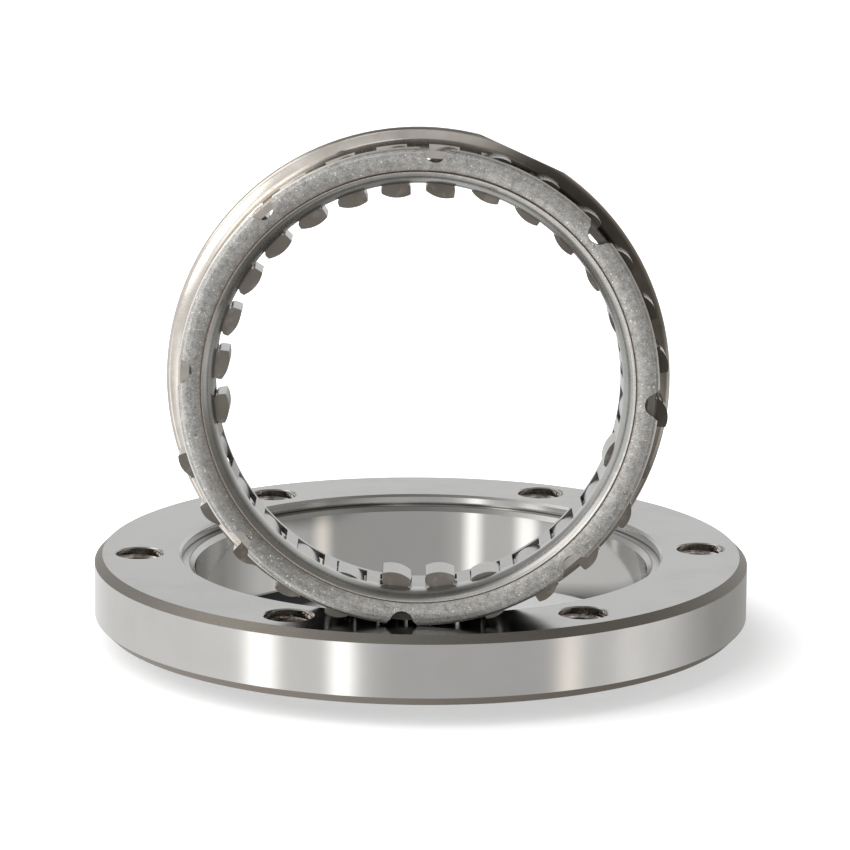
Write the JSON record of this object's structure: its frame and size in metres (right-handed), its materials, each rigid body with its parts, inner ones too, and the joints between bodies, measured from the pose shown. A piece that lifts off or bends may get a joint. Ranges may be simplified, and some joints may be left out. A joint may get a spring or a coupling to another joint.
{
  "type": "sprag clutch",
  "caption": "One-way clutch: a bolted outer race ring lying flat, with its row of sprags standing on edge in an outer and an inner cage.",
  "frame": {"origin": "centre of the lower end of the race's spigot, on which the race stands", "axes": "+Z along the race's axis, from its spigot to its counterbored face; the cage stands on the -Y side and its front faces -Y"},
  "size_m": [0.11, 0.11, 0.0926],
  "materials": {
    "ground_steel": "fine ground and polished, bare",
    "blasted_steel": "blasted, satin",
    "drawn_steel": "drawn sheet, smooth",
    "spring_steel": "dark tempered",
    "sprag_steel": "hardened, tumbled"
  },
  "bodies": {
    "cage_assembly": {"outer_cage": "blasted_steel", "ribbon_spring": "spring_steel"},
    "race": {"outer_race": "ground_steel"},
    "inner_cage": {"inner_cage": "drawn_steel"},
    "sprag_01": {"sprag_01": "sprag_steel"},
    "sprag_02": {"sprag_02": "sprag_steel"},
    "sprag_03": {"sprag_03": "sprag_steel"},
    "sprag_04": {"sprag_04": "sprag_steel"},
    "sprag_05": {"sprag_05": "sprag_steel"},
    "sprag_06": {"sprag_06": "sprag_steel"},
    "sprag_07": {"sprag_07": "sprag_steel"},
    "sprag_08": {"sprag_08": "sprag_steel"},
    "sprag_09": {"sprag_09": "sprag_steel"},
    "sprag_10": {"sprag_10": "sprag_steel"},
    "sprag_11": {"sprag_11": "sprag_steel"},
    "sprag_12": {"sprag_12": "sprag_steel"},
    "sprag_13": {"sprag_13": "sprag_steel"},
    "sprag_14": {"sprag_14": "sprag_steel"},
    "sprag_15": {"sprag_15": "sprag_steel"},
    "sprag_16": {"sprag_16": "sprag_steel"},
    "sprag_17": {"sprag_17": "sprag_steel"},
    "sprag_18": {"sprag_18": "sprag_steel"},
    "sprag_19": {"sprag_19": "sprag_steel"},
    "sprag_20": {"sprag_20": "sprag_steel"},
    "sprag_21": {"sprag_21": "sprag_steel"},
    "sprag_22": {"sprag_22": "sprag_steel"},
    "sprag_23": {"sprag_23": "sprag_steel"},
    "sprag_24": {"sprag_24": "sprag_steel"},
    "sprag_25": {"sprag_25": "sprag_steel"},
    "sprag_26": {"sprag_26": "sprag_steel"},
    "sprag_27": {"sprag_27": "sprag_steel"},
    "sprag_28": {"sprag_28": "sprag_steel"}
  },
  "joints": [
    {"name": "race_freewheel", "type": "hinge", "parent": "cage_assembly", "child": "race", "pos_m": [0, 0, 0.00755], "axis": [0, 0, 1], "continuous": true},
    {"name": "inner_cage_shift", "type": "hinge", "parent": "cage_assembly", "child": "inner_cage", "pos_m": [-0.00062, -0.03958, 0.05277], "axis": [0.0035, -0.9976, 0.0698], "range_deg": [-0.6, 0.6], "stiffness_Nm_per_rad": 0.05},
    {"name": "sprag_01_tilt", "type": "hinge", "parent": "cage_assembly", "child": "sprag_01", "pos_m": [0.03601, -0.03914, 0.05719], "axis": [0.0035, -0.9976, 0.0698], "range_deg": [-4.76, 4.76]},
    {"name": "sprag_02_tilt", "type": "hinge", "parent": "cage_assembly", "child": "sprag_02", "pos_m": [0.0341, -0.03859, 0.06521], "axis": [0.0035, -0.9976, 0.0698], "range_deg": [-4.76, 4.76]},
    {"name": "sprag_03_tilt", "type": "hinge", "parent": "cage_assembly", "child": "sprag_03", "pos_m": [0.03045, -0.03808, 0.07261], "axis": [0.0035, -0.9976, 0.0698], "range_deg": [-4.76, 4.76]},
    {"name": "sprag_04_tilt", "type": "hinge", "parent": "cage_assembly", "child": "sprag_04", "pos_m": [0.02525, -0.03765, 0.07901], "axis": [0.0035, -0.9976, 0.0698], "range_deg": [-4.76, 4.76]},
    {"name": "sprag_05_tilt", "type": "hinge", "parent": "cage_assembly", "child": "sprag_05", "pos_m": [0.01874, -0.03732, 0.0841], "axis": [0.0035, -0.9976, 0.0698], "range_deg": [-4.76, 4.76]},
    {"name": "sprag_06_tilt", "type": "hinge", "parent": "cage_assembly", "child": "sprag_06", "pos_m": [0.01127, -0.0371, 0.08761], "axis": [0.0035, -0.9976, 0.0698], "range_deg": [-4.76, 4.76]},
    {"name": "sprag_07_tilt", "type": "hinge", "parent": "cage_assembly", "child": "sprag_07", "pos_m": [0.0032, -0.037, 0.08938], "axis": [0.0035, -0.9976, 0.0698], "range_deg": [-4.76, 4.76]},
    {"name": "sprag_08_tilt", "type": "hinge", "parent": "cage_assembly", "child": "sprag_08", "pos_m": [-0.00507, -0.03704, 0.08931], "axis": [0.0035, -0.9976, 0.0698], "range_deg": [-4.76, 4.76]},
    {"name": "sprag_09_tilt", "type": "hinge", "parent": "cage_assembly", "child": "sprag_09", "pos_m": [-0.01311, -0.0372, 0.08741], "axis": [0.0035, -0.9976, 0.0698], "range_deg": [-4.76, 4.76]},
    {"name": "sprag_10_tilt", "type": "hinge", "parent": "cage_assembly", "child": "sprag_10", "pos_m": [-0.02052, -0.03748, 0.08377], "axis": [0.0035, -0.9976, 0.0698], "range_deg": [-4.76, 4.76]},
    {"name": "sprag_11_tilt", "type": "hinge", "parent": "cage_assembly", "child": "sprag_11", "pos_m": [-0.02694, -0.03786, 0.07858], "axis": [0.0035, -0.9976, 0.0698], "range_deg": [-4.76, 4.76]},
    {"name": "sprag_12_tilt", "type": "hinge", "parent": "cage_assembly", "child": "sprag_12", "pos_m": [-0.03203, -0.03834, 0.07209], "axis": [0.0035, -0.9976, 0.0698], "range_deg": [-4.76, 4.76]},
    {"name": "sprag_13_tilt", "type": "hinge", "parent": "cage_assembly", "child": "sprag_13", "pos_m": [-0.03556, -0.03887, 0.06464], "axis": [0.0035, -0.9976, 0.0698], "range_deg": [-4.76, 4.76]},
    {"name": "sprag_14_tilt", "type": "hinge", "parent": "cage_assembly", "child": "sprag_14", "pos_m": [-0.03732, -0.03944, 0.05659], "axis": [0.0035, -0.9976, 0.0698], "range_deg": [-4.76, 4.76]},
    {"name": "sprag_15_tilt", "type": "hinge", "parent": "cage_assembly", "child": "sprag_15", "pos_m": [-0.03726, -0.04001, 0.04834], "axis": [0.0035, -0.9976, 0.0698], "range_deg": [-4.76, 4.76]},
    {"name": "sprag_16_tilt", "type": "hinge", "parent": "cage_assembly", "child": "sprag_16", "pos_m": [-0.03535, -0.04057, 0.04032], "axis": [0.0035, -0.9976, 0.0698], "range_deg": [-4.76, 4.76]},
    {"name": "sprag_17_tilt", "type": "hinge", "parent": "cage_assembly", "child": "sprag_17", "pos_m": [-0.0317, -0.04107, 0.03293], "axis": [0.0035, -0.9976, 0.0698], "range_deg": [-4.76, 4.76]},
    {"name": "sprag_18_tilt", "type": "hinge", "parent": "cage_assembly", "child": "sprag_18", "pos_m": [-0.02649, -0.0415, 0.02652], "axis": [0.0035, -0.9976, 0.0698], "range_deg": [-4.76, 4.76]},
    {"name": "sprag_19_tilt", "type": "hinge", "parent": "cage_assembly", "child": "sprag_19", "pos_m": [-0.01999, -0.04183, 0.02144], "axis": [0.0035, -0.9976, 0.0698], "range_deg": [-4.76, 4.76]},
    {"name": "sprag_20_tilt", "type": "hinge", "parent": "cage_assembly", "child": "sprag_20", "pos_m": [-0.01252, -0.04205, 0.01792], "axis": [0.0035, -0.9976, 0.0698], "range_deg": [-4.76, 4.76]},
    {"name": "sprag_21_tilt", "type": "hinge", "parent": "cage_assembly", "child": "sprag_21", "pos_m": [-0.00444, -0.04215, 0.01615], "axis": [0.0035, -0.9976, 0.0698], "range_deg": [-4.76, 4.76]},
    {"name": "sprag_22_tilt", "type": "hinge", "parent": "cage_assembly", "child": "sprag_22", "pos_m": [0.00382, -0.04212, 0.01622], "axis": [0.0035, -0.9976, 0.0698], "range_deg": [-4.76, 4.76]},
    {"name": "sprag_23_tilt", "type": "hinge", "parent": "cage_assembly", "child": "sprag_23", "pos_m": [0.01186, -0.04195, 0.01812], "axis": [0.0035, -0.9976, 0.0698], "range_deg": [-4.76, 4.76]},
    {"name": "sprag_24_tilt", "type": "hinge", "parent": "cage_assembly", "child": "sprag_24", "pos_m": [0.01927, -0.04167, 0.02176], "axis": [0.0035, -0.9976, 0.0698], "range_deg": [-4.76, 4.76]},
    {"name": "sprag_25_tilt", "type": "hinge", "parent": "cage_assembly", "child": "sprag_25", "pos_m": [0.02569, -0.04129, 0.02695], "axis": [0.0035, -0.9976, 0.0698], "range_deg": [-4.76, 4.76]},
    {"name": "sprag_26_tilt", "type": "hinge", "parent": "cage_assembly", "child": "sprag_26", "pos_m": [0.03078, -0.04082, 0.03344], "axis": [0.0035, -0.9976, 0.0698], "range_deg": [-4.76, 4.76]},
    {"name": "sprag_27_tilt", "type": "hinge", "parent": "cage_assembly", "child": "sprag_27", "pos_m": [0.03431, -0.04029, 0.0409], "axis": [0.0035, -0.9976, 0.0698], "range_deg": [-4.76, 4.76]},
    {"name": "sprag_28_tilt", "type": "hinge", "parent": "cage_assembly", "child": "sprag_28", "pos_m": [0.03608, -0.03972, 0.04895], "axis": [0.0035, -0.9976, 0.0698], "range_deg": [-4.76, 4.76]}
  ],
  "couplings": [
    {"joint": "sprag_01_tilt", "follows": "inner_cage_shift", "ratio": -7.892},
    {"joint": "sprag_02_tilt", "follows": "inner_cage_shift", "ratio": -7.892},
    {"joint": "sprag_03_tilt", "follows": "inner_cage_shift", "ratio": -7.892},
    {"joint": "sprag_04_tilt", "follows": "inner_cage_shift", "ratio": -7.892},
    {"joint": "sprag_05_tilt", "follows": "inner_cage_shift", "ratio": -7.892},
    {"joint": "sprag_06_tilt", "follows": "inner_cage_shift", "ratio": -7.892},
    {"joint": "sprag_07_tilt", "follows": "inner_cage_shift", "ratio": -7.892},
    {"joint": "sprag_08_tilt", "follows": "inner_cage_shift", "ratio": -7.892},
    {"joint": "sprag_09_tilt", "follows": "inner_cage_shift", "ratio": -7.892},
    {"joint": "sprag_10_tilt", "follows": "inner_cage_shift", "ratio": -7.892},
    {"joint": "sprag_11_tilt", "follows": "inner_cage_shift", "ratio": -7.892},
    {"joint": "sprag_12_tilt", "follows": "inner_cage_shift", "ratio": -7.892},
    {"joint": "sprag_13_tilt", "follows": "inner_cage_shift", "ratio": -7.892},
    {"joint": "sprag_14_tilt", "follows": "inner_cage_shift", "ratio": -7.892},
    {"joint": "sprag_15_tilt", "follows": "inner_cage_shift", "ratio": -7.892},
    {"joint": "sprag_16_tilt", "follows": "inner_cage_shift", "ratio": -7.892},
    {"joint": "sprag_17_tilt", "follows": "inner_cage_shift", "ratio": -7.892},
    {"joint": "sprag_18_tilt", "follows": "inner_cage_shift", "ratio": -7.892},
    {"joint": "sprag_19_tilt", "follows": "inner_cage_shift", "ratio": -7.892},
    {"joint": "sprag_20_tilt", "follows": "inner_cage_shift", "ratio": -7.892},
    {"joint": "sprag_21_tilt", "follows": "inner_cage_shift", "ratio": -7.892},
    {"joint": "sprag_22_tilt", "follows": "inner_cage_shift", "ratio": -7.892},
    {"joint": "sprag_23_tilt", "follows": "inner_cage_shift", "ratio": -7.892},
    {"joint": "sprag_24_tilt", "follows": "inner_cage_shift", "ratio": -7.892},
    {"joint": "sprag_25_tilt", "follows": "inner_cage_shift", "ratio": -7.892},
    {"joint": "sprag_26_tilt", "follows": "inner_cage_shift", "ratio": -7.892},
    {"joint": "sprag_27_tilt", "follows": "inner_cage_shift", "ratio": -7.892},
    {"joint": "sprag_28_tilt", "follows": "inner_cage_shift", "ratio": -7.892}
  ]
}
